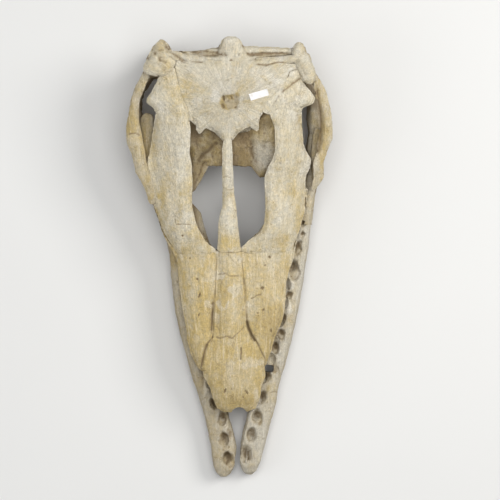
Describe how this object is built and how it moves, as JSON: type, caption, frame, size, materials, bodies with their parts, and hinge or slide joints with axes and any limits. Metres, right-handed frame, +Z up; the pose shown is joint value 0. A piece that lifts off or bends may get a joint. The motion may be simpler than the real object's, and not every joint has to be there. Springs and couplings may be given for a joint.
{
  "type": "fossil mosasaur skull",
  "caption": "Fossil mosasaur skull with cheek bars, paired nostril openings, a pineal pit and loose toothless lower jaws, lying flat as a museum shows it.",
  "frame": {"origin": "middle of the footprint, on the surface that the lower jaws rest on", "axes": "+Z up, -Y towards the snout, +Y towards the rear of the skull, +X to the right seen from above with the snout towards the viewer"},
  "size_m": [0.3704, 0.7938, 0.1783],
  "materials": {
    "bone_cream": "matt mineralised bone, cream with fine pores and cracks",
    "bone_ochre": "matt mineralised bone, stained yellow ochre",
    "bone_grey": "matt mineralised bone, weathered grey white",
    "label_paper": "plain white paper with no writing"
  },
  "bodies": {
    "root": {"dentary_left": "bone_cream", "dentary_right": "bone_grey", "jaw_rear_left": "bone_cream", "jaw_rear_right": "bone_cream", "coronoid_left": "bone_grey", "coronoid_right": "bone_cream", "premaxilla": "bone_ochre", "internarial_bar": "bone_cream", "skull_roof": "bone_cream", "occiput": "bone_cream", "jugal_left": "bone_cream", "jugal_right": "bone_cream", "squamosal_left": "bone_cream", "squamosal_right": "bone_cream", "postorbital_left": "bone_cream", "postorbital_right": "bone_cream", "supratemporal_left": "bone_cream", "supratemporal_right": "bone_cream", "quadrate_left": "bone_cream", "quadrate_right": "bone_cream", "prefrontal_left": "bone_grey", "prefrontal_right": "bone_grey", "maxilla_left": "bone_ochre", "maxilla_right": "bone_ochre", "braincase_wall": "bone_ochre", "orbit_wall_left": "bone_ochre", "palatine_left": "bone_grey", "specimen_label": "label_paper"}
  },
  "joints": []
}
